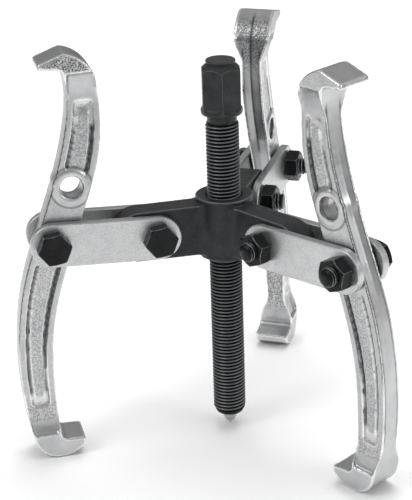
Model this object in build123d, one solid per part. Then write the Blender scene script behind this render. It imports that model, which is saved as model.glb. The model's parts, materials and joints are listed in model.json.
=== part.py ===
from build123d import *
from math import asin, cos, degrees, radians, sin, sqrt, tan
import os

# Three-jaw gear puller, 6 inch class, with reversible jaws.
#
# Row frame, in millimetres: Z is the axis of the forcing screw, pointing to its wrench end, and Z = 0 is
# the plane of the yoke's three pivot holes. The back arm lies along +Y, and the others 120 degrees away.
# Each arm is drawn in its own frame, with X outward from the screw, Y along its bolts towards their
# heads and Z up, and is then turned about the screw to its place.

INCH = 25.4

# ---- Arms: where each points and how its jaw hangs at rest ---------------------------------------
ARM_AZIMUTH = {"back": 90.0, "left": 210.0, "right": 330.0}
JAW_LEAN = {"back": 4.5, "left": -2.05, "right": -1.3}
JAW_PLAY = {"back": 0.5, "left": 0.9, "right": 1.3}
FOOT_DEPTH = 96.7

# ---- Forcing screw, 9/16-16 UN -------------------------------------------------------------------
SCREW_DIAMETER = 9 / 16 * INCH
THREAD_PITCH = INCH / 16
THREAD_TOP = 46.4
THREAD_BOTTOM = -89.8
THREAD_TOP_CHAMFER = 1.3
THREAD_END_CHAMFER = 2.4
NECK_DIAMETER = 12.6
COLLAR_DIAMETER = 17.7
COLLAR_BOTTOM = 49.4
COLLAR_TOP = 52.6
COLLAR_ROUND = 1.1
DRIVE_ACROSS_FLATS = 5 / 8 * INCH
DRIVE_TURN = 49.6
DRIVE_SHOULDER = 68.5
DRIVE_TOP = 71.1
BUTTON_DIAMETER = 12.6
BUTTON_NECK_DIAMETER = 11.6
BUTTON_BOTTOM = 71.8
BUTTON_TOP = 73.0
BUTTON_CHAMFER = 0.4

# ---- Live centre in the end of the forcing screw -------------------------------------------------
POINT_DIAMETER = 7.8
POINT_SOCKET_DEPTH = 9.0
POINT_SOCKET_GAP = 0.05
POINT_SHOULDER = -90.9
POINT_CONE_END = -94.8
POINT_NOSE_DIAMETER = 4.0
POINT_NIB_DIAMETER = 1.3
POINT_NIB_END = -96.25

# ---- Yoke ----------------------------------------------------------------------------------------
PIVOT_RADIUS = 30.4
HUB_TOP = 13.9
HUB_BOTTOM = -13.5
HUB_TOP_RADIUS = 12.4
HUB_BOTTOM_RADIUS = 11.2
HUB_BORE_GAP = 0.04
HUB_COUNTERSINK_RADIUS = 8.4
ARM_THICKNESS = 11.0
ARM_ROOT_HALF_HEIGHT = 11.35
ARM_END_HALF_HEIGHT = 11.05
ARM_END_CENTRE = 37.8
ARM_ROOT_FILLET = 6.0
ARM_BORE_DIAMETER = 8.1

# ---- Links ---------------------------------------------------------------------------------------
LINK_SPACING = 44.8
LINK_WIDTH = 0.75 * INCH
LINK_THICKNESS = 3.55
LINK_SIDE_GAP = 0.1
LINK_EDGE_ROUND = 0.6
LINK_BORE_DIAMETER = 8.3

# ---- Bolts and nuts, 5/16-18 ---------------------------------------------------------------------
BOLT_DIAMETER = 5 / 16 * INCH
BOLT_HEAD_HEIGHT = 5.3
BOLT_ACROSS_FLATS = 0.5 * INCH
NUT_HEIGHT = 6.2
BOLT_PROUD = 3.0
BOLT_END_CHAMFER = 0.9
HEX_CHAMFER_ANGLE = 30.0
HEAD_TURN = -10.0
NUT_TURN = 20.0

# ---- Jaws ----------------------------------------------------------------------------------------
JAW_HALF_THICKNESS = 4.75
HOOK_HALF_WIDTH = 8.2
BOSS_HALF_THICKNESS = 5.1
WORKING_BOSS_RADIUS = 7.2
SPARE_BOSS_RADIUS = 8.6
BOSS_CHAMFER = 1.3
JAW_BORE_DIAMETER = 8.6
JAW_BORE_CHAMFER = 0.8
SPARE_HOLE = (-10.35, 22.9)
HOOK_ROOT_FILLET = 2.6
POCKET_HALF_WEB = 3.5
PANEL_HALF_THICKNESS = 4.35
POCKET_RAMP = 1.2
RIM_WIDTH = 1.0
FLANGE_WIDTH = 3.7
GROOVE_WIDTH = 1.1

ARM_HALF = ARM_THICKNESS / 2
LINK_INNER_FACE = ARM_HALF + LINK_SIDE_GAP
LINK_OUTER_FACE = LINK_INNER_FACE + LINK_THICKNESS


def cylinder_y(radius, low, high, x=0.0, z=0.0):
    """A cylinder along Y between two Y values."""
    plane = Plane(origin=(x, low, z), x_dir=(1, 0, 0), z_dir=(0, 1, 0))
    return extrude(plane * Circle(radius), high - low)


def ring_of_revolution(points):
    """The solid that (radius, z) points sweep round the Z axis."""
    face = Plane.XZ * make_face(Polyline(*points, close=True))
    return revolve(face, Axis.Z)


# ---- Forcing screw and its centre ----------------------------------------------------------------
def hexagon_prism(across_flats, low, high, turn):
    """A hexagonal bar along Z."""
    plane = Plane(origin=(0, 0, low))
    outline = plane * Rot(0, 0, turn) * RegularPolygon(across_flats / 2, 6, major_radius=False)
    return extrude(outline, high - low)


def make_forcing_screw():
    """One turned bar: threaded shank, neck, collar, hexagon and end button."""
    screw_radius = SCREW_DIAMETER / 2
    neck_radius = NECK_DIAMETER / 2
    shank = ring_of_revolution(
        [
            (0, THREAD_BOTTOM),
            (screw_radius - THREAD_END_CHAMFER / 2, THREAD_BOTTOM),
            (screw_radius, THREAD_BOTTOM + THREAD_END_CHAMFER),
            (screw_radius, THREAD_TOP - THREAD_TOP_CHAMFER),
            (neck_radius, THREAD_TOP),
            (neck_radius, COLLAR_BOTTOM),
            (0, COLLAR_BOTTOM),
        ]
    )
    collar_disc = Plane(origin=(0, 0, COLLAR_BOTTOM)) * Circle(COLLAR_DIAMETER / 2)
    collar = extrude(collar_disc, COLLAR_TOP - COLLAR_BOTTOM)
    collar = fillet(collar.edges().filter_by(GeomType.CIRCLE), COLLAR_ROUND)
    corner_radius = DRIVE_ACROSS_FLATS / 2 / cos(radians(30))
    button_radius = BUTTON_DIAMETER / 2
    button_neck_radius = BUTTON_NECK_DIAMETER / 2
    drive_cone = ring_of_revolution(
        [
            (0, COLLAR_TOP - COLLAR_ROUND),
            (corner_radius, COLLAR_TOP - COLLAR_ROUND),
            (corner_radius, DRIVE_SHOULDER),
            (button_radius, DRIVE_TOP),
            (0, DRIVE_TOP),
        ]
    )
    drive = drive_cone & hexagon_prism(DRIVE_ACROSS_FLATS, COLLAR_TOP - COLLAR_ROUND, DRIVE_TOP, DRIVE_TURN)
    button = ring_of_revolution(
        [
            (0, DRIVE_SHOULDER),
            (button_neck_radius, DRIVE_SHOULDER),
            (button_neck_radius, BUTTON_BOTTOM),
            (button_radius, BUTTON_BOTTOM),
            (button_radius, BUTTON_TOP - BUTTON_CHAMFER),
            (button_radius - BUTTON_CHAMFER, BUTTON_TOP),
            (0, BUTTON_TOP),
        ]
    )
    socket_radius = POINT_DIAMETER / 2 + POINT_SOCKET_GAP
    socket = extrude(Plane(origin=(0, 0, THREAD_BOTTOM)) * Circle(socket_radius), POINT_SOCKET_DEPTH)
    return shank + collar + drive + button - socket


def make_centre_point():
    """The hardened centre: a plain stem in the screw's socket, a cone and a small nib."""
    radius = POINT_DIAMETER / 2
    nose = POINT_NOSE_DIAMETER / 2
    nib = POINT_NIB_DIAMETER / 2
    return ring_of_revolution(
        [
            (0, THREAD_BOTTOM + POINT_SOCKET_DEPTH - POINT_SOCKET_GAP),
            (radius, THREAD_BOTTOM + POINT_SOCKET_DEPTH - POINT_SOCKET_GAP),
            (radius, POINT_SHOULDER),
            (nose, POINT_CONE_END),
            (nib, POINT_CONE_END - 0.4),
            (nib, POINT_NIB_END),
            (0, POINT_NIB_END),
        ]
    )


# ---- Yoke ----------------------------------------------------------------------------------------
def yoke_arm():
    """One arm along +X: a tapering plate with a round end."""
    corner = (ARM_END_CENTRE, ARM_END_HALF_HEIGHT)
    under_corner = (ARM_END_CENTRE, -ARM_END_HALF_HEIGHT)
    outline = make_face(
        [
            Line((0, -ARM_ROOT_HALF_HEIGHT), (0, ARM_ROOT_HALF_HEIGHT)),
            Line((0, ARM_ROOT_HALF_HEIGHT), corner),
            ThreePointArc(corner, (ARM_END_CENTRE + ARM_END_HALF_HEIGHT, 0), under_corner),
            Line(under_corner, (0, -ARM_ROOT_HALF_HEIGHT)),
        ]
    )
    return extrude(Plane.XZ * outline, ARM_HALF, both=True)


def is_hub_corner(edge):
    """True for the upright edges where two arms meet the hub."""
    middle = edge.position_at(0.5)
    upright = abs(edge.tangent_at(0.5).Z) > 0.97
    return upright and HUB_BOTTOM_RADIUS - 2 < sqrt(middle.X**2 + middle.Y**2) < HUB_TOP_RADIUS + 2


def make_yoke():
    """A forged three-armed yoke with a threaded hub."""
    hub = ring_of_revolution(
        [(0, HUB_BOTTOM), (HUB_BOTTOM_RADIUS, HUB_BOTTOM), (HUB_TOP_RADIUS, HUB_TOP), (0, HUB_TOP)]
    )
    arm = yoke_arm()
    body = Rot(0, 0, ARM_AZIMUTH["back"]) * hub
    for azimuth in ARM_AZIMUTH.values():
        body += Rot(0, 0, azimuth) * arm
    body = fillet(body.edges().filter_by(is_hub_corner), ARM_ROOT_FILLET)
    bore_radius = SCREW_DIAMETER / 2 + HUB_BORE_GAP
    sink = HUB_COUNTERSINK_RADIUS
    body -= ring_of_revolution(
        [
            (0, HUB_BOTTOM),
            (bore_radius + 0.8, HUB_BOTTOM),
            (bore_radius, HUB_BOTTOM + 0.8),
            (bore_radius, HUB_TOP + bore_radius - sink),
            (sink, HUB_TOP),
            (0, HUB_TOP),
        ]
    )
    hole = cylinder_y(ARM_BORE_DIAMETER / 2, -ARM_HALF, ARM_HALF, PIVOT_RADIUS)
    for azimuth in ARM_AZIMUTH.values():
        body -= Rot(0, 0, azimuth) * hole
    return body


# ---- Links, bolts and nuts -----------------------------------------------------------------------
def make_link(inner_face, outer_face):
    """A flat bar with round ends, between two Y values, from the inner pivot at X = 0."""
    plane = Plane(origin=(0, inner_face, 0), x_dir=(1, 0, 0), z_dir=(0, 1, 0))
    outline = plane * Pos(LINK_SPACING / 2, 0) * SlotCenterToCenter(LINK_SPACING, LINK_WIDTH)
    bar = extrude(outline, outer_face - inner_face)
    bar = fillet(bar.edges().filter_by(lambda edge: abs(edge.tangent_at(0.5).Y) < 0.01), LINK_EDGE_ROUND)
    for x in (0, LINK_SPACING):
        bar -= cylinder_y(LINK_BORE_DIAMETER / 2, inner_face, outer_face, x)
    return bar


def hex_y(across_flats, low, high, turn, chamfer_low, chamfer_high):
    """A hexagon along Y between two Y values, with its corners turned off at 30 degrees."""
    plane = Plane(origin=(0, low, 0), x_dir=(1, 0, 0), z_dir=(0, 1, 0))
    outline = plane * Rot(0, 0, -turn) * RegularPolygon(across_flats / 2, 6, major_radius=False)
    bar = extrude(outline, high - low)
    flat = across_flats / 2 * 0.97
    corner = across_flats / 2 / cos(radians(30))
    drop = (corner - flat) * tan(radians(HEX_CHAMFER_ANGLE))
    low_radius = flat if chamfer_low else corner
    high_radius = flat if chamfer_high else corner
    limit = [
        (0, low),
        (low_radius, low),
        (corner, low + (drop if chamfer_low else 0.01)),
        (corner, high - (drop if chamfer_high else 0.01)),
        (high_radius, high),
        (0, high),
    ]
    face = make_face(Polyline(*limit, close=True))
    return bar & revolve(face, Axis.Y)


def make_bolt():
    """A hexagon-head bolt along Y: head at +Y, plain shank, chamfered end."""
    radius = BOLT_DIAMETER / 2
    under_head = LINK_OUTER_FACE
    end = -LINK_OUTER_FACE - NUT_HEIGHT - BOLT_PROUD
    face = make_face(
        Polyline(
            (0, end),
            (radius - BOLT_END_CHAMFER, end),
            (radius, end + BOLT_END_CHAMFER),
            (radius, under_head),
            (0, under_head),
            close=True,
        )
    )
    head = hex_y(BOLT_ACROSS_FLATS, under_head, under_head + BOLT_HEAD_HEIGHT, HEAD_TURN, False, True)
    return revolve(face, Axis.Y) + head


def make_nut():
    """A hexagon nut on the -Y side, chamfered on both faces."""
    high = -LINK_OUTER_FACE
    low = high - NUT_HEIGHT
    return hex_y(BOLT_ACROSS_FLATS, low, high, NUT_TURN, True, True) - cylinder_y(BOLT_DIAMETER / 2, low, high)


# ---- Jaws ----------------------------------------------------------------------------------------
# A jaw is drawn upright, with its working pivot at the origin, X outward and Z up.
GRIP_TIP = (-4.95, -90.8)
GRIP_ROOT = (5.2, -90.1)
LOWER_TIP = (-4.8, -94.0)
SOLE_END = (8.3, -98.2)
UPPER_UNDERSIDE_TIP = (-1.1, 74.6)
UPPER_ROOT = (-11.4, 73.4)
UPPER_TIP = (-1.6, 76.8)
CROWN_END = (-12.3, 80.3)
FRONT_EDGE = [
    (5.4, -84.8),
    (5.05, -63.1),
    (3.85, -46.3),
    (0.25, -29.1),
    (-4.95, -13.8),
    (-11.5, 2.8),
    (-18.2, 19.8),
    (-22.4, 32.0),
    (-25.0, 44.7),
    (-25.7, 54.8),
    (-24.9, 67.0),
]
BACK_EDGE = [
    (-11.9, 64.0),
    (-9.5, 47.2),
    (-4.0, 28.9),
    (4.6, 7.3),
    (13.05, -14.0),
    (18.0, -34.5),
    (20.0, -59.2),
    (19.1, -76.9),
    (16.8, -90.2),
]
LOWER_FLARE = (-74.0, -87.5)
LOWER_STEP = (-75.9, -86.9, 6.9)
UPPER_FLARE = (58.6, 71.6)
UPPER_STEP = (60.0, 71.4, 7.5)
LOWER_POCKET = (-74.3, -9.4)
UPPER_POCKET = (22.9, 58.6)
LOWER_PANEL_RAMP = (-74.1, -69.5)
UPPER_PANEL_RAMP = (57.8, 53.8)
JAW_REACH = 110.0
INSET_STEPS = 12


def jaw_outline():
    """The jaw's side view: lower hook inward, upper hook outward."""
    front = Spline(*FRONT_EDGE)
    back = Spline(*BACK_EDGE)
    crown = TangentArc(front @ 1, CROWN_END, tangent=front % 1)
    heel = TangentArc(back @ 1, SOLE_END, tangent=back % 1)
    sole = TangentArc(heel @ 1, LOWER_TIP, tangent=heel % 1)
    upper_hook = Polyline(CROWN_END, UPPER_TIP, UPPER_UNDERSIDE_TIP, UPPER_ROOT, BACK_EDGE[0])
    lower_hook = Polyline(LOWER_TIP, GRIP_TIP, GRIP_ROOT, FRONT_EDGE[0])
    face = make_face([front, crown, *upper_hook.edges(), back, heel, sole, *lower_hook.edges()])
    roots = [
        corner
        for corner in face.vertices()
        if min(abs(corner.X - x) + abs(corner.Y - z) for x, z in (GRIP_ROOT, UPPER_ROOT)) < 0.01
    ]
    return fillet(roots, HOOK_ROOT_FILLET)


def symmetric_slab(right_side):
    """A slab through the whole jaw along X, from its right-hand (Y, Z) boundary and its mirror image."""
    right = Curve() + right_side
    left = mirror(right, Plane.YZ)
    bottom = Line(left @ 0, right @ 0)
    top = Line(left @ 1, right @ 1)
    face = make_face([*right.edges(), *left.edges(), bottom, top])
    return extrude(Plane.YZ * face, JAW_REACH, both=True)


def flare(low, high):
    """An S-curve between two upright lines."""
    return Spline(low, high, tangents=[(0, 1), (0, 1)])


def shank_envelope():
    """The jaw's thickness along its height: a slim shank that swings out to the two hooks."""
    shank = JAW_HALF_THICKNESS
    hook = HOOK_HALF_WIDTH
    return symmetric_slab(
        [
            Line((hook, -JAW_REACH), (hook, LOWER_FLARE[1])),
            flare((hook, LOWER_FLARE[1]), (shank, LOWER_FLARE[0])),
            Line((shank, LOWER_FLARE[0]), (shank, UPPER_FLARE[0])),
            flare((shank, UPPER_FLARE[0]), (hook, UPPER_FLARE[1])),
            Line((hook, UPPER_FLARE[1]), (hook, JAW_REACH)),
        ]
    )


def web_envelope():
    """The metal left between the pockets and scoops of the two sides."""
    shank = JAW_HALF_THICKNESS
    web = POCKET_HALF_WEB
    low_scoop, low_step, low_width = LOWER_STEP
    high_scoop, high_step, high_width = UPPER_STEP
    low_end = LOWER_POCKET[0]
    high_end = UPPER_POCKET[1]
    return symmetric_slab(
        [
            Line((low_width, -JAW_REACH), (low_width, low_step)),
            TangentArc((shank, low_scoop), (low_width, low_step), tangent=(0, -1)),
            Line((shank, low_scoop), (shank, low_end - POCKET_RAMP / 2)),
            Line((shank, low_end - POCKET_RAMP / 2), (web, low_end + POCKET_RAMP / 2)),
            Line((web, low_end + POCKET_RAMP / 2), (web, high_end - POCKET_RAMP / 2)),
            Line((web, high_end - POCKET_RAMP / 2), (shank, high_end + POCKET_RAMP / 2)),
            Line((shank, high_end + POCKET_RAMP / 2), (shank, high_scoop)),
            TangentArc((shank, high_scoop), (high_width, high_step), tangent=(0, 1)),
            Line((high_width, high_step), (high_width, JAW_REACH)),
        ]
    )


def panel_envelope():
    """The height of the raised panels, with a ramp at each free end."""
    web = POCKET_HALF_WEB - 0.1
    panel = PANEL_HALF_THICKNESS
    return symmetric_slab(
        [
            Line((web, LOWER_PANEL_RAMP[0]), (panel, LOWER_PANEL_RAMP[1])),
            Line((panel, LOWER_PANEL_RAMP[1]), (panel, UPPER_PANEL_RAMP[1])),
            Line((panel, UPPER_PANEL_RAMP[1]), (web, UPPER_PANEL_RAMP[0])),
        ]
    )


def through(face):
    """A side-view face, extruded right through the jaw."""
    return extrude(Plane.XZ * face, 2 * HOOK_HALF_WIDTH, both=True)


def inset_edge(points, inset):
    """One long edge of the side view, drawn into the metal, which lies to the right of its travel."""
    edge = Spline(*points)
    stations = [step / INSET_STEPS for step in range(INSET_STEPS + 1)]
    moved = []
    for station in stations:
        along = edge % station
        moved.append((edge @ station) + Vector(along.Y, -along.X) * inset)
    return Spline(*moved)


def field_between(inset, low, high):
    """The side view between two heights, with its front and back edges drawn in."""
    front = inset_edge(FRONT_EDGE, inset)
    back = inset_edge(BACK_EDGE, inset)
    under = Polyline(back @ 1, ((back @ 1).X, -JAW_REACH), ((front @ 0).X, -JAW_REACH), front @ 0)
    over = Polyline(front @ 1, ((front @ 1).X, JAW_REACH), ((back @ 0).X, JAW_REACH), back @ 0)
    whole = make_face([front, *over.edges(), back, *under.edges()])
    return whole & Pos(0, (low + high) / 2) * Rectangle(2 * JAW_REACH, high - low)


def sink_pockets(body):
    """Sinks a rimmed scoop behind each hook and a pocket into each half, on both sides."""
    hollows = [
        field_between(RIM_WIDTH, LOWER_STEP[1], LOWER_STEP[0]),
        field_between(FLANGE_WIDTH, LOWER_POCKET[0] - POCKET_RAMP, LOWER_POCKET[1]),
        field_between(FLANGE_WIDTH, UPPER_POCKET[0], UPPER_POCKET[1] + POCKET_RAMP),
        field_between(RIM_WIDTH, UPPER_STEP[0], UPPER_STEP[1]),
    ]
    web = web_envelope()
    for hollow in hollows:
        body -= through(hollow) - web
    return body


def add_panels(body):
    """Raises a panel in the middle of each pocket, with a groove left round it."""
    inset = FLANGE_WIDTH + GROOVE_WIDTH
    fields = [
        field_between(inset, LOWER_PANEL_RAMP[0], LOWER_POCKET[1]),
        field_between(inset, SPARE_HOLE[1], UPPER_PANEL_RAMP[0]),
    ]
    height = panel_envelope()
    for field in fields:
        body += through(field) & height
    return body


def boss(x, z, radius):
    """A pivot boss that stands proud on both sides of the jaw."""
    half = BOSS_HALF_THICKNESS
    face = make_face(
        Polyline(
            (0, -half),
            (radius - BOSS_CHAMFER, -half),
            (radius, BOSS_CHAMFER - half),
            (radius, half - BOSS_CHAMFER),
            (radius - BOSS_CHAMFER, half),
            (0, half),
            close=True,
        )
    )
    return Pos(x, 0, z) * revolve(face, Axis.Y)


def boss_bore(x, z):
    """The bore of a pivot boss, with a chamfer at each mouth."""
    half = BOSS_HALF_THICKNESS
    radius = JAW_BORE_DIAMETER / 2
    face = make_face(
        Polyline(
            (0, -half),
            (radius + JAW_BORE_CHAMFER, -half),
            (radius, JAW_BORE_CHAMFER - half),
            (radius, half - JAW_BORE_CHAMFER),
            (radius + JAW_BORE_CHAMFER, half),
            (0, half),
            close=True,
        )
    )
    return Pos(x, 0, z) * revolve(face, Axis.Y)


def make_jaw():
    """A forged reversible jaw with two pivot bores."""
    body = through(jaw_outline()) & shank_envelope()
    body = sink_pockets(body)
    body = add_panels(body)
    for (x, z), radius in (((0, 0), WORKING_BOSS_RADIUS), (SPARE_HOLE, SPARE_BOSS_RADIUS)):
        body += boss(x, z, radius)
        body -= boss_bore(x, z)
    return body


# ---- Assembly ------------------------------------------------------------------------------------
def jaw_tilt(arm):
    """How a jaw hangs on its bolt: leaning along its arm, and rocked sideways in the play of its bore."""
    return Rot(0, -JAW_LEAN[arm], 0) * Rot(JAW_PLAY[arm], 0, 0)


def link_lift(arm, jaw):
    """The angle that raises a link's outer end until the jaw that hangs on it stands on the floor."""
    lowest = (jaw_tilt(arm) * jaw).bounding_box().min.Z
    return degrees(asin((-FOOT_DEPTH - lowest) / LINK_SPACING))


def arm_pieces(arm, jaw):
    """The pieces of one arm, placed in the row frame, by name."""
    lift = link_lift(arm, jaw)
    outward = Rot(0, 0, ARM_AZIMUTH[arm])
    inner_pivot = outward * Pos(PIVOT_RADIUS, 0, 0) * Rot(0, -lift, 0)
    outer_pivot = inner_pivot * Pos(LINK_SPACING, 0, 0)
    jaw_place = outer_pivot * Rot(0, lift, 0) * jaw_tilt(arm)
    bolt = make_bolt()
    nut = make_nut()
    return {
        "link_head_side": inner_pivot * make_link(LINK_INNER_FACE, LINK_OUTER_FACE),
        "link_nut_side": inner_pivot * make_link(-LINK_OUTER_FACE, -LINK_INNER_FACE),
        "inner_bolt": inner_pivot * bolt,
        "inner_nut": inner_pivot * nut,
        "outer_bolt": outer_pivot * bolt,
        "outer_nut": outer_pivot * nut,
        "jaw": jaw_place * jaw,
    }


def main():
    """Builds every piece and writes one STEP file for each."""
    pieces = {
        "yoke": make_yoke(),
        "forcing_screw": make_forcing_screw(),
        "centre_point": make_centre_point(),
    }
    jaw = make_jaw()
    for arm in ARM_AZIMUTH:
        for name, piece in arm_pieces(arm, jaw).items():
            pieces[f"{arm}_{name}"] = piece
        print(arm, "link lift", round(link_lift(arm, jaw), 3), "degrees")
    os.makedirs("parts", exist_ok=True)
    for name, piece in pieces.items():
        export_step(piece, f"parts/{name}.step")


main()
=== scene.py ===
import json
import math

import bmesh
import bpy
import numpy as np
from mathutils import Matrix, Vector, noise


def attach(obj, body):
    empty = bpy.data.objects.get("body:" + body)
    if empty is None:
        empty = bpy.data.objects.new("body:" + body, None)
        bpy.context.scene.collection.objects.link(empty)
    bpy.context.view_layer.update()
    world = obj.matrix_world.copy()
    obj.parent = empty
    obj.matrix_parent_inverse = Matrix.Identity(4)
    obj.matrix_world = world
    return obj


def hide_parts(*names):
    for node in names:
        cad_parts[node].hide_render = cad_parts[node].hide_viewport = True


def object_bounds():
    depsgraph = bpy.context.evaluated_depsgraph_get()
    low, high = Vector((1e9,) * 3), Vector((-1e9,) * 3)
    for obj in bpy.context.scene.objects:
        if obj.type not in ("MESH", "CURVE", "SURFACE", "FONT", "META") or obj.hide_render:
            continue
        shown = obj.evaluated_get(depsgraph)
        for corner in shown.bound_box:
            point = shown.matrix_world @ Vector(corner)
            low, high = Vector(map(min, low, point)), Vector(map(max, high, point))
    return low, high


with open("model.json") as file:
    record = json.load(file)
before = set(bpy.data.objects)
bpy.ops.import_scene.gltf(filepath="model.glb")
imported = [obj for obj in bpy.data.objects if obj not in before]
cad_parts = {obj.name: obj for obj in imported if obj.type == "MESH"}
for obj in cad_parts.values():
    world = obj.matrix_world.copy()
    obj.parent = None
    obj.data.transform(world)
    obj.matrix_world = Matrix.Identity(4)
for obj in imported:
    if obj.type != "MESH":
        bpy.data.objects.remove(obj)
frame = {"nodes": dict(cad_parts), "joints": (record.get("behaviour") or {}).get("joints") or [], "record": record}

cad_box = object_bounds()
nodes = frame["nodes"]
scene = bpy.context.scene

MM = 0.001
INCH = 25.4 * MM

# ---- Camera --------------------------------------------------------------------------------------
CAMERA_AZIMUTH = 16.576
CAMERA_ELEVATION = 21.560
CAMERA_ROLL = -1.583
CAMERA_DISTANCE = 0.67318
CAMERA_LENS = 112.79
CAMERA_SHIFT = (-0.03763, -0.05373)

# ---- Threads, in metres, repeated from part.py ---------------------------------------------------
SCREW_MAJOR_RADIUS = 9 / 32 * INCH
SCREW_PITCH = INCH / 16
SCREW_THREAD_TOP = 46.4 * MM
SCREW_THREAD_BOTTOM = -89.8 * MM
SCREW_TOP_CHAMFER = 1.3 * MM
SCREW_END_CHAMFER = 2.4 * MM
SCREW_END_RADIUS = SCREW_MAJOR_RADIUS - 1.2 * MM
NECK_RADIUS = 6.3 * MM
SOCKET_RADIUS = 3.95 * MM
SOCKET_DEPTH = 9 * MM
BOLT_MAJOR_RADIUS = 5 / 32 * INCH
BOLT_PITCH = INCH / 18
BOLT_END_CHAMFER = 0.9 * MM
BOLT_END = -18.35 * MM
NUT_FACE = -15.35 * MM
THREAD_DEPTH_PER_PITCH = 0.6134

# ---- Jaws, repeated from part.py: metres, and degrees round the screw ----------------------------
SPARE_HOLE = (-10.35 * MM, 22.9 * MM)
JAW_HALF_THICKNESS = 4.75 * MM
ARM_AZIMUTH = {"back": 90.0, "left": 210.0, "right": 330.0}

# ---- Meshes made from the CAD: the grain of the remesh, and the sides of the round threads --------
JAW_VOXEL = 0.42 * MM
YOKE_VOXEL = 0.45 * MM
SCREW_HEAD_VOXEL = 0.26 * MM
BOLT_VOXEL = 0.22 * MM
SCREW_COLUMNS = 64
BOLT_COLUMNS = 40
THREAD_OVERLAP = 0.1 * MM
CREST_DEPTH = 0.25 * MM
BOLT_THREAD_IN_NUT = 0.5 * MM
BOLT_SHANK_IN_NUT = 0.3 * MM
LINK_EDGE_ROUND = 0.1 * MM
POINT_EDGE_ROUND = 0.12 * MM

# ---- Relief of the forgings: its depth, the size of its hollows, and what the smooth parts keep ---
JAW_RELIEF = (0.12 * MM, 1.1 * MM)
YOKE_RELIEF = (0.06 * MM, 1.8 * MM)
RELIEF_WHERE_SMOOTH = 0.15

# ---- Bends, as convexity measures them: where painted highlight or painted shade begins, and where it is full ---
JAW_RIDGE = (0.018, 0.06)
JAW_GROOVE = (0.016, 0.068)
YOKE_RIDGE = (0.05, 0.14)
BLACK_EDGE = (0.05, 0.16)

# ---- Zones of a jaw ------------------------------------------------------------------------------
# Two values are where a change begins and ends. Three are from, to, and the fade at both ends.
# Heights above the working pivot, along the jaw:
CROWNED = (-82 * MM, 66 * MM, 5 * MM)
HOOK_GROWTH = (60 * MM, 84 * MM)
UPPER_POCKET_END = (50 * MM, 60 * MM, 2 * MM)
LOWER_POCKET_END = (-78 * MM, -69 * MM, 2 * MM)
UPPER_POCKET_TOP = (49 * MM, 60 * MM, 4 * MM)
UPPER_SCOOP = (60 * MM, 70.5 * MM, 1 * MM)
LOWER_SCOOP = (-86.5 * MM, -75 * MM, 1 * MM)
LOWER_SCOOP_SHADE = (-80.5 * MM, -74 * MM, 1.5 * MM)
UPPER_HOOK = (71.5 * MM, 72.5 * MM)
LOWER_HOOK = (-88 * MM, -87 * MM)
HOOK_ROOTS = (60 * MM, 77 * MM, 8 * MM)
EDGE_LINE = (-40 * MM, 56 * MM, 14 * MM)
TRIM_LINE = (-70 * MM, 62 * MM, 6 * MM)
SEAM = (14 * MM, 78 * MM, 3 * MM)
SEAM_SHADE = (64 * MM, 74 * MM, 7 * MM)
# Distances from the jaw's middle plane:
MIDDLE_OF_NARROW_FACE = (3.4 * MM, 4.4 * MM)
POCKET_FLOOR_ASIDE = (3.7 * MM, 4.15 * MM)
PANEL_ASIDE = (4.2 * MM, 4.45 * MM, 0.1 * MM)
TRIM_ASIDE = (3.6 * MM, 4.3 * MM, 0.3 * MM)
SIDE_FACE_LIMIT = 4.9 * MM
SEAM_HALF_WIDTH = 0.5 * MM
PARTING_HALF_WIDTH = 0.55 * MM
# Distances from a boss's axis:
BORE_EDGE = 6 * MM
BOSS_SURROUND = (12 * MM, 16 * MM)
MACHINED = (8.2 * MM, 8.8 * MM)
RING_LINE = (8.6 * MM, 9.1 * MM, 0.4 * MM)

# ---- How much each zone of a jaw is rounded, roughened, darkened by painted shade or brightened by painted highlight ---
CROWN_DEPTH = 0.32 * MM
CROWN_EDGE_DEPTH = 0.50 * MM
HOOK_EXTRA_HALF_WIDTH = 3.4 * MM
INNER_PARTING_HEIGHT = 0.30 * MM
OUTER_PARTING_HEIGHT = 0.18 * MM
BOSS_MELT_STEPS = 60
POCKET_MELT_STEPS = 26
RELAX_STEPS = 5
HOOK_GRAIN = {"back": 0.10, "left": 0.80, "right": 0.08}
GRAIN = {
    "everywhere": 0.16,
    "lower_hook": -0.12,
    "scoops": -0.12,
    "pocket_floor": 0.42,
    "panel": 0.3,
    "scoop_shade": 0.5,
    "inner_face": 0.75,
}
PAINTED_SHADE_STRENGTH = {
    "grooves": 0.50,
    "trim_shade": 0.95,
    "pocket_floor": 0.26,
    "edge_shade_line": 0.9,
    "ring_line": 0.6,
    "parting_shade": 0.9,
    "seam_shade": 0.30,
}
PAINTED_HIGHLIGHT_STRENGTH = {"ridges": 0.75, "pocket_end": 0.5}
OPEN_POCKET_END = 0.9
OPEN_END_FADING = 0.8
POCKET_SLOPE_FADING = 0.7

# ---- How bright the painted highlight on the black pieces' edges and thread crests is ------------
BLACK_EDGE_HIGHLIGHT = 0.9
YOKE_HIGHLIGHT = 0.45
SCREW_HEAD_SHARE = 0.45
SCREW_CREST_HIGHLIGHT = 0.75
BOLT_CREST_HIGHLIGHT = 0.9

# ---- Colours -------------------------------------------------------------------------------------
PLATE_DARK = (0.52, 0.53, 0.54)
PLATE_LIGHT = (0.60, 0.60, 0.60)
# Painted highlight on the plated jaws' edges, slopes and grain peaks:
PLATE_PAINTED_HIGHLIGHT = (0.95, 0.95, 0.94)
# Painted shade in the plated jaws' grain hollows and grooves:
SPECK_PAINTED_SHADE = (0.09, 0.092, 0.095)
PLATE_PAINTED_SHADE = (0.08, 0.08, 0.085)
BAR_DARK = (0.56, 0.57, 0.58)
BAR_LIGHT = (0.64, 0.64, 0.64)
BAR_DULL = (0.34, 0.34, 0.35)
BAR_GLINT = (0.85, 0.85, 0.85)
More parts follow.
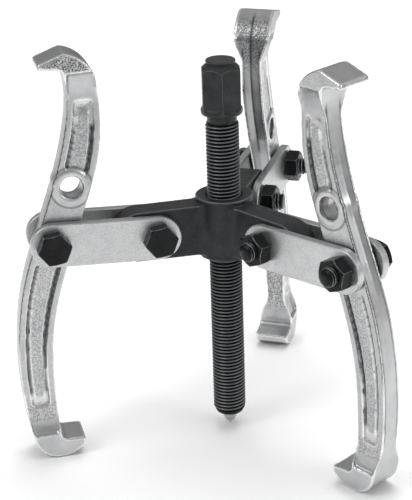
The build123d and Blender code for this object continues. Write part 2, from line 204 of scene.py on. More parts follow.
# Painted shade and painted highlight on the black pieces:
BLACK_PAINTED_SHADE = (0.002, 0.002, 0.002)
BLACK_PAINTED_HIGHLIGHT = (0.26, 0.27, 0.28)
POINT_DARK = (0.42, 0.42, 0.43)
POINT_LIGHT = (0.72, 0.72, 0.72)
FLOOR_DARK = (0.93, 0.93, 0.93)
FLOOR_LIGHT = (0.95, 0.95, 0.95)


def make_camera():
    """The camera looks at the crossing of the screw's axis and the pivot plane."""
    azimuth = math.radians(CAMERA_AZIMUTH)
    elevation = math.radians(CAMERA_ELEVATION)
    back = Vector((
        math.sin(azimuth) * math.cos(elevation),
        -math.cos(azimuth) * math.cos(elevation),
        math.sin(elevation),
    ))
    data = bpy.data.cameras.new("camera")
    data.lens = CAMERA_LENS
    data.shift_x, data.shift_y = CAMERA_SHIFT
    camera = bpy.data.objects.new("camera", data)
    scene.collection.objects.link(camera)
    turn = (-back).to_track_quat("-Z", "Y").to_matrix().to_4x4()
    roll = Matrix.Rotation(math.radians(CAMERA_ROLL), 4, "Z")
    camera.matrix_world = Matrix.Translation(back * CAMERA_DISTANCE) @ turn @ roll
    scene.camera = camera


# ---- Mesh helpers --------------------------------------------------------------------------------
def new_piece(name, mesh):
    """A piece in the scene, at the origin of the row frame."""
    piece = bpy.data.objects.new(name, mesh)
    scene.collection.objects.link(piece)
    return piece


def bake_modifiers(piece):
    """Replaces a piece's mesh by what its modifiers make of it."""
    graph = bpy.context.evaluated_depsgraph_get()
    shaped = bpy.data.meshes.new_from_object(piece.evaluated_get(graph))
    piece.modifiers.clear()
    piece.data = shaped


def shade_smooth(mesh):
    """Every face of the mesh is shaded smooth."""
    mesh.polygons.foreach_set("use_smooth", np.ones(len(mesh.polygons), dtype=bool))


def softened(name, node, voxel, steps):
    """A copy of a CAD node with a forging's soft edges."""
    piece = new_piece(name, nodes[node].data.copy())
    remesh = piece.modifiers.new("remesh", "REMESH")
    remesh.mode = "VOXEL"
    remesh.voxel_size = voxel
    smooth = piece.modifiers.new("smooth", "SMOOTH")
    smooth.factor = 0.5
    smooth.iterations = steps
    bake_modifiers(piece)
    shade_smooth(piece.data)
    return piece


def vertex_array(mesh, what):
    """Positions or normals of a mesh's vertices as rows of three."""
    values = np.empty(len(mesh.vertices) * 3)
    mesh.vertices.foreach_get(what, values)
    return values.reshape(-1, 3)


def edge_ends(mesh):
    """The two vertex numbers of every edge, as two arrays."""
    ends = np.empty(len(mesh.edges) * 2, dtype=np.int64)
    mesh.edges.foreach_get("vertices", ends)
    return ends.reshape(-1, 2).T


def average(mesh, values, steps):
    """Moves each vertex's value halfway to the mean of its neighbours', a few times."""
    first, second = edge_ends(mesh)
    count = np.bincount(np.concatenate((first, second)), minlength=len(values))
    count = np.maximum(count, 1).reshape((-1,) + (1,) * (values.ndim - 1))
    for _ in range(steps):
        total = np.zeros_like(values)
        np.add.at(total, first, values[second])
        np.add.at(total, second, values[first])
        values = 0.5 * values + 0.5 * total / count
    return values


def convexity(mesh, spread):
    """How sharply the surface is bent at each vertex: positive on ridges, negative in grooves."""
    points = vertex_array(mesh, "co")
    normals = vertex_array(mesh, "normal")
    first, second = edge_ends(mesh)
    step = points[first] - points[second]
    length = np.linalg.norm(step, axis=1) + 1e-9
    bend = np.zeros(len(points))
    count = np.zeros(len(points))
    np.add.at(bend, first, np.sum(normals[first] * step, axis=1) / length)
    np.add.at(bend, second, -np.sum(normals[second] * step, axis=1) / length)
    np.add.at(count, first, 1)
    np.add.at(count, second, 1)
    return average(mesh, bend / np.maximum(count, 1), spread)


def relax(mesh, steps):
    """Smooths the surface a little."""
    mesh.vertices.foreach_set("co", average(mesh, vertex_array(mesh, "co"), steps).ravel())
    mesh.update()


def melt(mesh, mask, steps):
    """Smooths the surface a lot where the mask is 1 and not at all where it is 0."""
    points = vertex_array(mesh, "co")
    first, second = edge_ends(mesh)
    near = (mask[first] > 0) | (mask[second] > 0)
    first = first[near]
    second = second[near]
    used, numbers = np.unique(np.concatenate((first, second)), return_inverse=True)
    first, second = numbers.reshape(2, -1)
    part = points[used]
    share = 0.5 * mask[used][:, None]
    count = np.maximum(np.bincount(numbers), 1)[:, None]
    for _ in range(steps):
        total = np.zeros_like(part)
        np.add.at(total, first, part[second])
        np.add.at(total, second, part[first])
        part = part + share * (total / count - part)
    points[used] = part
    mesh.vertices.foreach_set("co", points.ravel())
    mesh.update()


def store(mesh, name, values):
    """A named value at each vertex, for the materials to read."""
    layer = mesh.attributes.new(name, "FLOAT", "POINT")
    layer.data.foreach_set("value", np.asarray(values, dtype=np.float32))


def ramp(values, low, high):
    """0 below low, 1 above high, smooth in between."""
    t = np.clip((values - low) / (high - low), 0, 1)
    return t * t * (3 - 2 * t)


def forged_relief(mesh, depth, size, mask):
    """Sinks the surface by up to depth, in hollows of about the given size."""
    points = vertex_array(mesh, "co")
    normals = vertex_array(mesh, "normal")
    lumps = np.array([
        noise.noise(Vector(point) / size) + 0.5 * noise.noise(Vector(point) * (2.3 / size))
        for point in points
    ])
    moved = points + normals * (depth * mask * np.clip(lumps - 0.45, -1.5, 0) / 1.5)[:, None]
    mesh.vertices.foreach_set("co", moved.ravel())
    mesh.update()


# ---- Threads -------------------------------------------------------------------------------------
def thread_mesh(major, pitch, low, high, end_limit, columns):
    """A right-hand thread along Z from low to high. end_limit(z) is the largest radius at a height."""
    depth = THREAD_DEPTH_PER_PITCH * pitch
    profile = [
        (0.00, major - 0.03 * depth),
        (0.06, major),
        (0.16, major - 0.03 * depth),
        (0.34, major - 0.62 * depth),
        (0.48, major - 0.98 * depth),
        (0.58, major - depth),
        (0.70, major - 0.86 * depth),
        (0.86, major - 0.40 * depth),
    ]
    rows_per_turn = len(profile)
    turns = math.ceil((high - low) / pitch) + 2
    mesh = bmesh.new()
    grid = []
    for row in range(turns * rows_per_turn):
        turn, place = divmod(row, rows_per_turn)
        share, radius = profile[place]
        ring = []
        for column in range(columns):
            angle = 2 * math.pi * column / columns
            height = low + (turn - 1 + share + column / columns) * pitch
            height = min(max(height, low), high)
            r = min(radius, end_limit(height))
            ring.append(mesh.verts.new((r * math.cos(angle), r * math.sin(angle), height)))
        grid.append(ring)
    for row in range(len(grid) - 1):
        for column in range(columns - 1):
            mesh.faces.new((
                grid[row][column], grid[row][column + 1], grid[row + 1][column + 1], grid[row + 1][column],
            ))
        beyond = row + rows_per_turn
        if beyond + 1 < len(grid):
            mesh.faces.new((
                grid[row + 1][columns - 1], grid[row][columns - 1], grid[beyond][0], grid[beyond + 1][0],
            ))
    return mesh


def ring_strip(mesh, stations, columns):
    """A surface of revolution about Z through (radius, height) stations."""
    rings = []
    for radius, height in stations:
        ring = []
        for column in range(columns):
            angle = 2 * math.pi * column / columns
            ring.append(mesh.verts.new((radius * math.cos(angle), radius * math.sin(angle), height)))
        rings.append(ring)
    for low, high in zip(rings, rings[1:]):
        for column in range(columns):
            after = (column + 1) % columns
            mesh.faces.new((low[column], low[after], high[after], high[column]))


def clean(mesh):
    """Merges doubled points and drops faces and edges without size."""
    bmesh.ops.remove_doubles(mesh, verts=mesh.verts, dist=0.004 * MM)
    bmesh.ops.dissolve_degenerate(mesh, edges=mesh.edges, dist=0.002 * MM)
    flat = [face for face in mesh.faces if face.calc_area() < 1e-13]
    bmesh.ops.delete(mesh, geom=flat, context="FACES")
    bmesh.ops.recalc_face_normals(mesh, faces=mesh.faces)


def cut_below(piece, point, direction):
    """Removes what lies behind a plane and leaves the cut open."""
    mesh = bmesh.new()
    mesh.from_mesh(piece.data)
    everything = mesh.verts[:] + mesh.edges[:] + mesh.faces[:]
    bmesh.ops.bisect_plane(mesh, geom=everything, plane_co=point, plane_no=direction, clear_inner=True)
    mesh.to_mesh(piece.data)
    mesh.free()


def to_mesh(mesh, name):
    """A finished mesh from a bmesh."""
    data = bpy.data.meshes.new(name)
    mesh.to_mesh(data)
    mesh.free()
    return data


def join(name, parts):
    """One piece from several meshes."""
    whole = bmesh.new()
    for part in parts:
        whole.from_mesh(part)
    return new_piece(name, to_mesh(whole, name))


def rounded(piece, width):
    """A small round along every sharp edge of the piece."""
    bevel = piece.modifiers.new("edge_round", "BEVEL")
    bevel.width = width
    bevel.segments = 3
    bevel.limit_method = "ANGLE"
    bevel.angle_limit = math.radians(22)
    bevel.harden_normals = False


# ---- Materials -----------------------------------------------------------------------------------
class Finish:
    """A material under construction, with short names for the nodes that the finishes share."""

    def __init__(self, name, metallic):
        self.material = bpy.data.materials.new(name)
        self.material.use_nodes = True
        self.tree = self.material.node_tree
        self.shader = self.tree.nodes["Principled BSDF"]
        self.shader.inputs["Metallic"].default_value = metallic
        self.place = self.tree.nodes.new("ShaderNodeTexCoord").outputs["Object"]

    def link(self, output, target):
        self.tree.links.new(output, target)

    def noise(self, size, detail, stretch=None):
        """Noise whose lumps are about size metres across."""
        node = self.tree.nodes.new("ShaderNodeTexNoise")
        node.inputs["Scale"].default_value = 1 / size
        node.inputs["Detail"].default_value = detail
        if stretch is None:
            self.link(self.place, node.inputs["Vector"])
            return node.outputs["Fac"]
        mapping = self.tree.nodes.new("ShaderNodeMapping")
        mapping.inputs["Scale"].default_value = stretch
        self.link(self.place, mapping.inputs["Vector"])
        self.link(mapping.outputs["Vector"], node.inputs["Vector"])
        return node.outputs["Fac"]

    def range(self, value, from_low, from_high, to_low, to_high):
        """A value carried from one range onto another, and held at its ends."""
        node = self.tree.nodes.new("ShaderNodeMapRange")
        node.inputs["From Min"].default_value = from_low
        node.inputs["From Max"].default_value = from_high
        node.inputs["To Min"].default_value = to_low
        node.inputs["To Max"].default_value = to_high
        self.link(value, node.inputs["Value"])
        return node.outputs["Result"]

    def math(self, operation, first, second):
        """A sum or product of two values, which are numbers or sockets."""
        node = self.tree.nodes.new("ShaderNodeMath")
        node.operation = operation
        for socket, value in zip(node.inputs, (first, second)):
            if isinstance(value, (int, float)):
                socket.default_value = value
            else:
                self.link(value, socket)
        return node.outputs[0]

    def mix(self, factor, first, second):
        """A colour between two, which are colours or sockets."""
        node = self.tree.nodes.new("ShaderNodeMix")
        node.data_type = "RGBA"
        self.link(factor, node.inputs["Factor"])
        for name, value in (("A", first), ("B", second)):
            socket = [s for s in node.inputs if s.name == name and s.type == "RGBA"][0]
            if isinstance(value, tuple):
                socket.default_value = (*value, 1)
            else:
                self.link(value, socket)
        return [s for s in node.outputs if s.type == "RGBA"][0]

    def stored(self, name):
        """A value stored at the mesh's vertices."""
        node = self.tree.nodes.new("ShaderNodeAttribute")
        node.attribute_name = name
        return node.outputs["Fac"]

    def bump(self, height, distance):
        """Fine relief, up to distance metres high."""
        node = self.tree.nodes.new("ShaderNodeBump")
        node.inputs["Distance"].default_value = distance
        node.inputs["Strength"].default_value = 1
        self.link(height, node.inputs["Height"])
        self.link(node.outputs["Normal"], self.shader.inputs["Normal"])

    def colour(self, socket):
        self.link(socket, self.shader.inputs["Base Color"])

    def roughness(self, socket):
        self.link(socket, self.shader.inputs["Roughness"])


def forged_silver():
    """Plated forging: satin grey, with painted shade in its grooves and grain hollows, painted highlight on its
    ridges and grain peaks, and pebbly where stored so.
    """
    finish = Finish("plated_jaw", 1.0)
    cloud = finish.noise(7 * MM, 5)
    speck = finish.noise(0.62 * MM, 3)
    base = finish.mix(finish.range(cloud, 0.35, 0.65, 0, 1), PLATE_DARK, PLATE_LIGHT)
    pebble = finish.stored("pebble")
    # Painted shade: dark specks where the grain's bump is low, in its hollows.
    hollow_shade = finish.math("MULTIPLY", finish.range(speck, 0.42, 0.54, 0.95, 0.0), pebble)
    base = finish.mix(hollow_shade, base, SPECK_PAINTED_SHADE)
    # Painted highlight: bright glints where the grain's bump is high.
    glint = finish.math("MULTIPLY", finish.range(speck, 0.56, 0.68, 0.0, 0.45), pebble)
    base = finish.mix(glint, base, PLATE_PAINTED_HIGHLIGHT)
    # Painted shade in the grooves, on the pocket floors and along the edge, trim and seam lines.
    base = finish.mix(finish.stored("painted_shade"), base, PLATE_PAINTED_SHADE)
    # Painted highlight on the ridges and on the pockets' end slopes.
    base = finish.mix(finish.stored("painted_highlight"), base, PLATE_PAINTED_HIGHLIGHT)
    finish.colour(base)
    rough = finish.range(finish.noise(1.6 * MM, 3), 0.3, 0.7, 0.30, 0.42)
    finish.roughness(finish.math("SUBTRACT", rough, finish.math("MULTIPLY", finish.stored("painted_highlight"), 0.10)))
    grain = finish.math("MULTIPLY", speck, finish.math("ADD", finish.math("MULTIPLY", pebble, 1.2), 0.12))
    finish.bump(grain, 0.16 * MM)
    return finish.material


def bar_silver():
    """Plated flat bar: satin, cloudy, with small dull patches and glints."""
    finish = Finish("plated_link", 1.0)
    cloud = finish.noise(4 * MM, 5)
    fine = finish.noise(0.55 * MM, 3)
    base = finish.mix(finish.range(cloud, 0.35, 0.65, 0, 1), BAR_DARK, BAR_LIGHT)
    base = finish.mix(finish.range(fine, 0.36, 0.46, 0.35, 0), base, BAR_DULL)
    base = finish.mix(finish.range(fine, 0.58, 0.68, 0, 0.5), base, BAR_GLINT)
    finish.colour(base)
    finish.roughness(finish.range(finish.noise(2 * MM, 3), 0.3, 0.7, 0.32, 0.44))
    finish.bump(fine, 0.10 * MM)
    return finish.material


def black_steel(name, light, dark, rough, grain_size, grain_height):
    """Black oxide on steel: charcoal, mottled from dark to light, with painted highlight on its ridges and painted
    shade in its grooves.
    """
    finish = Finish(name, 0.5)
    finish.shader.inputs["Specular IOR Level"].default_value = 0.28
    cloud = finish.noise(5 * MM, 4)
    base = finish.mix(finish.range(cloud, 0.3, 0.7, 0, 1), dark, light)
    fine = finish.noise(grain_size, 3)
    base = finish.mix(finish.range(fine, 0.55, 0.8, 0, 0.5), base, tuple(c * 1.9 for c in light))
    # Painted shade in the thread roots.
    base = finish.mix(finish.stored("painted_shade"), base, BLACK_PAINTED_SHADE)
    # Painted highlight on the edges and thread crests.
    base = finish.mix(finish.stored("painted_highlight"), base, BLACK_PAINTED_HIGHLIGHT)
    finish.colour(base)
    finish.roughness(finish.range(finish.noise(1.3 * MM, 3), 0.3, 0.7, rough - 0.06, rough + 0.08))
    finish.bump(finish.math("ADD", fine, finish.noise(3 * MM, 2)), grain_height)
    return finish.material


def bright_point():
    """The hardened centre: ground bright steel with turning marks round it."""
    finish = Finish("bright_point", 1.0)
    marks = finish.noise(0.3 * MM, 2, (0.05, 0.05, 1.0))
    finish.colour(finish.mix(finish.range(marks, 0.35, 0.65, 0, 1), POINT_DARK, POINT_LIGHT))
    finish.roughness(finish.range(finish.noise(1 * MM, 2), 0.3, 0.7, 0.22, 0.34))
    finish.bump(marks, 0.02 * MM)
    return finish.material


def paint(piece, material):
    """One finish all over a piece."""
    piece.data.materials.clear()
    piece.data.materials.append(material)


# ---- The puller ----------------------------------------------------------------------------------
def sideways(arm):
    """The direction of an arm's bolts, towards their heads."""
    azimuth = math.radians(ARM_AZIMUTH[arm])
    return Vector((-math.sin(azimuth), math.cos(azimuth), 0))


def jaw_axes(arm):
    """The jaw's own frame at rest: its working pivot, and its X, Y and Z directions as rows."""
    mounts = {mount["name"]: mount for mount in frame["record"]["mounts"]}
    joints = {joint["name"]: joint for joint in frame["joints"]}
    spare = mounts[f"{arm}_jaw_spare_bore"]
    pivot = np.array(joints[f"{arm}_jaw_pivot"]["pos_m"])
    side = np.array(spare["axis"])
    to_spare = np.array(spare["pos_m"]) - pivot
    to_spare /= np.linalg.norm(to_spare)
    level = np.cross(side, to_spare)
    share_x, share_z = np.array(SPARE_HOLE) / math.hypot(*SPARE_HOLE)
    return pivot, np.array([
        share_x * to_spare + share_z * level,
        side,
        share_z * to_spare - share_x * level,
    ])


def edge_painted_highlight(mesh):
    """Painted highlight on the black finish: brightest on the sharpest edges."""
    return BLACK_EDGE_HIGHLIGHT * ramp(convexity(mesh, 0), *BLACK_EDGE)


def between(values, low, high, soft):
    """1 between low and high, fading to 0 over soft on each side."""
    return ramp(values, low - soft, low) * (1 - ramp(values, high, high + soft))


class JawSurface:
    """A jaw's vertices before they are shaped: where each one is on the jaw, and which way it faces."""

    def __init__(self, arm, mesh):
        pivot, axes = jaw_axes(arm)
        place = (vertex_array(mesh, "co") - pivot) @ axes.T
        normals = vertex_array(mesh, "normal") @ axes.T
        self.mesh = mesh
        self.height = place[:, 2]
        self.aside = np.abs(place[:, 1])
        self.outward = normals[:, 0]
        self.facing_side = np.abs(normals[:, 1])
        self.bend = convexity(mesh, 10)
        self.from_spare = np.hypot(place[:, 0] - SPARE_HOLE[0], place[:, 2] - SPARE_HOLE[1])
        self.from_boss = np.minimum(np.hypot(place[:, 0], place[:, 2]), self.from_spare)
        self.flat = ramp(self.facing_side, 0.80, 0.97)
        self.narrow_face = average(mesh, 1 - ramp(self.facing_side, 0.25, 0.6), 3)
        self.middle = self.narrow_face * (1 - ramp(self.aside, *MIDDLE_OF_NARROW_FACE))
        ends = between(self.height, *UPPER_POCKET_END) + between(self.height, *LOWER_POCKET_END)
        self.pocket_end = ends * (1 - self.narrow_face) * (1 - self.middle)
        self.scoops = between(self.height, *UPPER_SCOOP) + between(self.height, *LOWER_SCOOP)
        self.pocket_floor = self.flat * (1 - ramp(self.aside, *POCKET_FLOOR_ASIDE))
        self.forged = ramp(self.from_boss, *MACHINED)
        rim = average(mesh, self.narrow_face * (self.outward > 0), 10)
        beside_edge = (1 - self.narrow_face) * between(rim, 0.07, 0.24, 0.05)
        self.edge_shade_line = beside_edge * between(self.height, *EDGE_LINE)

    def crown_edges(self):
        """Rounds the long edges a little and leaves the forging's parting line along their middle."""
        half = JAW_HALF_THICKNESS + HOOK_EXTRA_HALF_WIDTH * ramp(np.abs(self.height), *HOOK_GROWTH)
        share = np.clip(self.aside / half, 0, 1)
        line = np.where(self.outward < 0, INNER_PARTING_HEIGHT, OUTER_PARTING_HEIGHT)
        line *= np.exp(-((self.aside / PARTING_HALF_WIDTH) ** 2))
        push = line - CROWN_DEPTH - CROWN_EDGE_DEPTH * share**2
        push *= self.narrow_face * between(self.height, *CROWNED)
        points = vertex_array(self.mesh, "co")
        normals = vertex_array(self.mesh, "normal")
        self.mesh.vertices.foreach_set("co", (points + normals * push[:, None]).ravel())
        self.mesh.update()

    def shape(self):
        """Melts the bosses into the narrow faces, softens the pockets' ends and crowns the long edges."""
        near_boss = (1 - ramp(self.from_boss, *BOSS_SURROUND)) * (self.from_boss > BORE_EDGE)
        melt(self.mesh, self.middle * near_boss, BOSS_MELT_STEPS)
        melt(self.mesh, self.pocket_end, POCKET_MELT_STEPS)
        self.crown_edges()
        relax(self.mesh, RELAX_STEPS)

    def pebble(self, hook_grain):
        """Where the plating is grainy: on the upper hook and in the pockets, and least at the bosses."""
        grain = GRAIN["everywhere"] + hook_grain * ramp(self.height, *UPPER_HOOK)
        grain += GRAIN["lower_hook"] * (1 - ramp(self.height, *LOWER_HOOK))
        grain += GRAIN["scoops"] * self.scoops
        grain += GRAIN["pocket_floor"] * self.pocket_floor
        grain += GRAIN["panel"] * self.flat * between(self.aside, *PANEL_ASIDE)
        grain += GRAIN["scoop_shade"] * between(self.height, *LOWER_SCOOP_SHADE)
        inner_face = self.narrow_face * ramp(-self.outward, 0.3, 0.8)
        inner_face *= between(np.abs(self.height), *HOOK_ROOTS)
        grain = np.clip(self.flat * grain + GRAIN["inner_face"] * inner_face, 0, 1)
        return average(self.mesh, self.forged * grain, 2)

    def painted_highlight(self):
        """Painted highlight: bright on sharp edges and on the slopes at the pockets' ends."""
        slope = self.pocket_end * between(self.facing_side, 0.55, 0.985, 0.01)
        slope *= self.aside < SIDE_FACE_LIMIT
        bright = PAINTED_HIGHLIGHT_STRENGTH["ridges"] * ramp(self.bend, *JAW_RIDGE) * (1 - self.edge_shade_line)
        bright += PAINTED_HIGHLIGHT_STRENGTH["pocket_end"] * average(self.mesh, slope, 3)
        return np.clip(bright, 0, 1)

    def painted_shade(self):
        """Painted shade: dark in grooves, on the pocket floors, round the spare bore, along the edges and trim,
        and along the parting seam.
        """
        trim_shade = self.narrow_face * between(self.aside, *TRIM_ASIDE) * between(self.height, *TRIM_LINE)
        floor = average(self.mesh, self.pocket_floor * self.forged, 4)
        open_end = np.clip(self.scoops + OPEN_POCKET_END * between(self.height, *UPPER_POCKET_TOP), 0, 1)
        dark = PAINTED_SHADE_STRENGTH["grooves"] * ramp(-self.bend, *JAW_GROOVE) * (1 - OPEN_END_FADING * open_end)
        dark += PAINTED_SHADE_STRENGTH["trim_shade"] * average(self.mesh, trim_shade, 3)
        dark += PAINTED_SHADE_STRENGTH["pocket_floor"] * floor * (1 - open_end)
        dark *= 1 - POCKET_SLOPE_FADING * np.clip(self.pocket_end, 0, 1)
        dark += PAINTED_SHADE_STRENGTH["edge_shade_line"] * self.edge_shade_line
        dark += PAINTED_SHADE_STRENGTH["ring_line"] * (1 - self.narrow_face) * between(self.from_spare, *RING_LINE)
        parting_shade = np.exp(-((self.aside / SEAM_HALF_WIDTH) ** 2)) * between(self.height, *SEAM)
        shade = between(self.height, *SEAM_SHADE)
        inward = self.narrow_face * ramp(-self.outward, 0.2, 0.6)
        dark += inward * (PAINTED_SHADE_STRENGTH["parting_shade"] * parting_shade + PAINTED_SHADE_STRENGTH["seam_shade"] * shade)
        return np.clip(dark, 0, 1)


def make_jaw(arm, material):
    """A forged jaw: soft edges, a shallow pebbly relief on its flats, and at each vertex its grain, painted
    highlight and painted shade.
    """
    node = f"{arm}_jaw"
    piece = softened(f"{arm}_jaw_forging", node, JAW_VOXEL, 3)
    surface = JawSurface(arm, piece.data)
    surface.shape()
    pebble = surface.pebble(HOOK_GRAIN[arm])
    forged_relief(piece.data, *JAW_RELIEF, RELIEF_WHERE_SMOOTH + (1 - RELIEF_WHERE_SMOOTH) * pebble)
    store(piece.data, "pebble", pebble)
    store(piece.data, "painted_highlight", surface.painted_highlight())
    store(piece.data, "painted_shade", surface.painted_shade())
    paint(piece, material)
    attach(piece, f"{arm}_jaw")
    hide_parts(node)


def make_yoke(material):
    """The forged yoke: soft edges, shallow relief and painted highlight on its ridges."""
    piece = softened("yoke_forging", "yoke", YOKE_VOXEL, 3)
    mesh = piece.data
    bend = convexity(mesh, 1)
    forged_relief(mesh, *YOKE_RELIEF, np.ones(len(mesh.vertices)))
    # Painted highlight on the yoke's sharpest bends.
    store(mesh, "painted_highlight", YOKE_HIGHLIGHT * ramp(bend, *YOKE_RIDGE))
    paint(piece, material)
    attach(piece, "yoke")
    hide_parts("yoke")


def screw_limit(height):
    """The largest radius of the forcing screw's thread at a height: its two end chamfers."""
    from_top = (SCREW_THREAD_TOP - height) / SCREW_TOP_CHAMFER
    from_bottom = (height - SCREW_THREAD_BOTTOM) / SCREW_END_CHAMFER
    top = NECK_RADIUS + (SCREW_MAJOR_RADIUS - NECK_RADIUS) * min(from_top, 1)
    bottom = SCREW_END_RADIUS + (SCREW_MAJOR_RADIUS - SCREW_END_RADIUS) * min(from_bottom, 1)
    return min(top, bottom)


def make_screw(material):
    """The forcing screw: a real helical thread with the CAD head above it."""
    thread = thread_mesh(
        SCREW_MAJOR_RADIUS, SCREW_PITCH, SCREW_THREAD_BOTTOM, SCREW_THREAD_TOP, screw_limit, SCREW_COLUMNS
    )
    root = SCREW_MAJOR_RADIUS - THREAD_DEPTH_PER_PITCH * SCREW_PITCH
    ring_strip(thread, [
        (SOCKET_RADIUS, SCREW_THREAD_BOTTOM + SOCKET_DEPTH),
        (SOCKET_RADIUS, SCREW_THREAD_BOTTOM),
        (min(root, SCREW_END_RADIUS), SCREW_THREAD_BOTTOM),
        (SCREW_END_RADIUS, SCREW_THREAD_BOTTOM),
    ], SCREW_COLUMNS)
    ring_strip(thread, [(root, SCREW_THREAD_TOP), (NECK_RADIUS, SCREW_THREAD_TOP)], SCREW_COLUMNS)
    clean(thread)
    head = softened("screw_head_work", "forcing_screw", SCREW_HEAD_VOXEL, 2)
    cut_below(head, (0, 0, SCREW_THREAD_TOP - THREAD_OVERLAP), (0, 0, 1))
    piece = join("forcing_screw_threaded", [to_mesh(thread, "screw_thread"), head.data])
    bpy.data.objects.remove(head)
    shade_smooth(piece.data)
    points = vertex_array(piece.data, "co")
    radius = np.hypot(points[:, 0], points[:, 1])
    # Painted highlight on the thread's crests and on the head's edges.
    crest = ramp(radius, SCREW_MAJOR_RADIUS - CREST_DEPTH, SCREW_MAJOR_RADIUS)
    # Painted shade towards the thread's roots.
    root_shade = 1 - ramp(radius, NECK_RADIUS + 0.4 * MM, SCREW_MAJOR_RADIUS)
    threaded = points[:, 2] < SCREW_THREAD_TOP - THREAD_OVERLAP
    head_highlight = SCREW_HEAD_SHARE * edge_painted_highlight(piece.data)
    store(piece.data, "painted_highlight", np.where(threaded, SCREW_CREST_HIGHLIGHT * crest, head_highlight))
    store(piece.data, "painted_shade", np.where(threaded, root_shade, 0))
    paint(piece, material)
    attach(piece, "forcing_screw")
    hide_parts("forcing_screw")


def bolt_limit(height):
    """The largest radius of a bolt's thread at a height from its end, for its end chamfer."""
    share = min(height / BOLT_END_CHAMFER, 1)
    return BOLT_MAJOR_RADIUS - BOLT_END_CHAMFER * (1 - share)


def make_bolt(arm, which, joint, material):
    """A bolt with its CAD head and shank, and a real thread where it stands out of its nut."""
    node = f"{arm}_{which}_bolt"
    heads = sideways(arm)
    centre = Vector(joint["pos_m"])
    thread_top = NUT_FACE + BOLT_THREAD_IN_NUT - BOLT_END
    thread = thread_mesh(BOLT_MAJOR_RADIUS, BOLT_PITCH, 0, thread_top, bolt_limit, BOLT_COLUMNS)
    ring_strip(thread, [(0.02 * MM, 0), (BOLT_MAJOR_RADIUS - BOLT_END_CHAMFER, 0)], BOLT_COLUMNS)
    clean(thread)
    turn = heads.to_track_quat("Z", "Y").to_matrix().to_4x4()
    thread.transform(Matrix.Translation(centre + heads * BOLT_END) @ turn)
    head = softened("bolt_head_work", node, BOLT_VOXEL, 2)
    cut_below(head, centre + heads * (NUT_FACE + BOLT_SHANK_IN_NUT), heads)
    piece = join(f"{node}_threaded", [to_mesh(thread, node), head.data])
    bpy.data.objects.remove(head)
    shade_smooth(piece.data)
    along = (vertex_array(piece.data, "co") - np.array(centre)) @ np.array(heads)
    away = vertex_array(piece.data, "co") - np.array(centre) - along[:, None] * np.array(heads)
    # Painted highlight on the thread's crests and on the head's edges.
    crest = ramp(np.linalg.norm(away, axis=1), BOLT_MAJOR_RADIUS - CREST_DEPTH, BOLT_MAJOR_RADIUS)
    store(piece.data, "painted_highlight", np.where(along < NUT_FACE, BOLT_CREST_HIGHLIGHT * crest, edge_painted_highlight(piece.data)))
    paint(piece, material)
    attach(piece, f"{arm}_links")
    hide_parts(node)


def make_nut(arm, which, material):
    """A nut with soft edges."""
    node = f"{arm}_{which}_nut"
    piece = softened(f"{node}_rounded", node, BOLT_VOXEL, 2)
    # Painted highlight on the nut's edges.
    store(piece.data, "painted_highlight", edge_painted_highlight(piece.data))
    paint(piece, material)
    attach(piece, f"{arm}_links")
    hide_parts(node)


def finish_nodes(prefixes, material, width):
    """Gives carried-over CAD nodes their finish and a small round on their edges."""
    for name, node in nodes.items():
        if name.endswith(prefixes):
            paint(node, material)
            rounded(node, width)


def make_puller():
    """Every piece of the puller, with its finish."""
    jaw_silver = forged_silver()
    forged_black = black_steel(
        "black_forging",
        light=(0.042, 0.043, 0.045),
        dark=(0.026, 0.027, 0.029),
        rough=0.42,
        grain_size=0.6 * MM,
        grain_height=0.05 * MM,
    )
    screw_black = black_steel(
        "black_screw",
        light=(0.046, 0.047, 0.049),
        dark=(0.028, 0.029, 0.030),
        rough=0.36,
        grain_size=0.4 * MM,
        grain_height=0.02 * MM,
    )
    bolt_black = black_steel(
        "black_bolt",
        light=(0.015, 0.016, 0.017),
        dark=(0.006, 0.006, 0.007),
        rough=0.30,
        grain_size=0.5 * MM,
        grain_height=0.04 * MM,
    )
    for arm in ARM_AZIMUTH:
        make_jaw(arm, jaw_silver)
    make_yoke(forged_black)
    make_screw(screw_black)
    for joint in frame["joints"]:
        for arm in ARM_AZIMUTH:
            if joint["name"] == f"{arm}_link_pivot":
                make_bolt(arm, "inner", joint, bolt_black)
            if joint["name"] == f"{arm}_jaw_pivot":
                make_bolt(arm, "outer", joint, bolt_black)
    finish_nodes(("_link_head_side", "_link_nut_side"), bar_silver(), LINK_EDGE_ROUND)
    for arm in ARM_AZIMUTH:
        make_nut(arm, "inner", bolt_black)
        make_nut(arm, "outer", bolt_black)
    finish_nodes(("centre_point",), bright_point(), POINT_EDGE_ROUND)


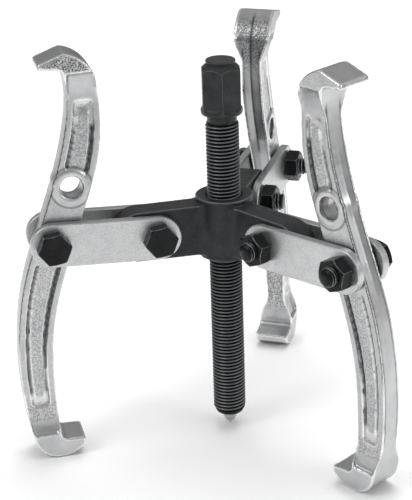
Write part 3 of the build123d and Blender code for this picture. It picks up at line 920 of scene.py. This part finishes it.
# ---- Floor and light -----------------------------------------------------------------------------
def make_floor():
    """A plain pale floor at the height of the jaws' feet."""
    bpy.ops.mesh.primitive_plane_add(size=6, location=(0, 0, cad_box[0].z))
    floor = bpy.context.object
    floor.name = "floor"
    finish = Finish("floor_white", 0.0)
    tone = finish.range(finish.noise(0.4, 2), 0.3, 0.7, 0, 1)
    finish.colour(finish.mix(tone, FLOOR_DARK, FLOOR_LIGHT))
    finish.shader.inputs["Roughness"].default_value = 0.9
    finish.shader.inputs["Specular IOR Level"].default_value = 0.1
    paint(floor, finish.material)


def area_light(name, place, target, size, energy):
    """A square soft box that faces a point."""
    data = bpy.data.lights.new(name, "AREA")
    data.energy = energy
    data.size = size
    light = bpy.data.objects.new(name, data)
    scene.collection.objects.link(light)
    light.location = place
    light.rotation_mode = "QUATERNION"
    light.rotation_quaternion = (Vector(target) - light.location).to_track_quat("-Z", "Y")
    return light


def make_light():
    """A studio surround, darker round the horizon, with a key from the left and boxes above and behind."""
    world = bpy.data.worlds.new("world")
    scene.world = world
    world.use_nodes = True
    tree = world.node_tree
    direction = tree.nodes.new("ShaderNodeTexCoord").outputs["Generated"]
    parts = tree.nodes.new("ShaderNodeSeparateXYZ")
    tree.links.new(direction, parts.inputs["Vector"])
    climb = tree.nodes.new("ShaderNodeMapRange")
    climb.inputs["From Min"].default_value = 0.05
    climb.inputs["From Max"].default_value = 0.75
    climb.inputs["To Min"].default_value = 0.20
    climb.inputs["To Max"].default_value = 0.50
    tree.links.new(parts.outputs["Z"], climb.inputs["Value"])
    background = tree.nodes["Background"]
    background.inputs["Color"].default_value = (1, 1, 1, 1)
    tree.links.new(climb.outputs["Result"], background.inputs["Strength"])
    area_light("key", place=(-0.55, -0.55, 0.65), target=(0, 0, 0), size=0.45, energy=2.9)
    top = area_light("top", place=(0.1, 0.15, 0.9), target=(0, 0.05, 0), size=0.7, energy=4.6)
    top.visible_glossy = False
    area_light("side", place=(0.75, -0.15, 0.35), target=(0, 0, 0), size=0.3, energy=1.2)
    backdrop = area_light(
        "backdrop", place=(-0.3, 1.1, 1.2), target=(-0.35, 1.2, -0.1), size=1.2, energy=11.0
    )
    backdrop.visible_glossy = False
    scene.view_settings.view_transform = "Standard"
    scene.view_settings.look = "None"


make_camera()
make_puller()
make_floor()
make_light()
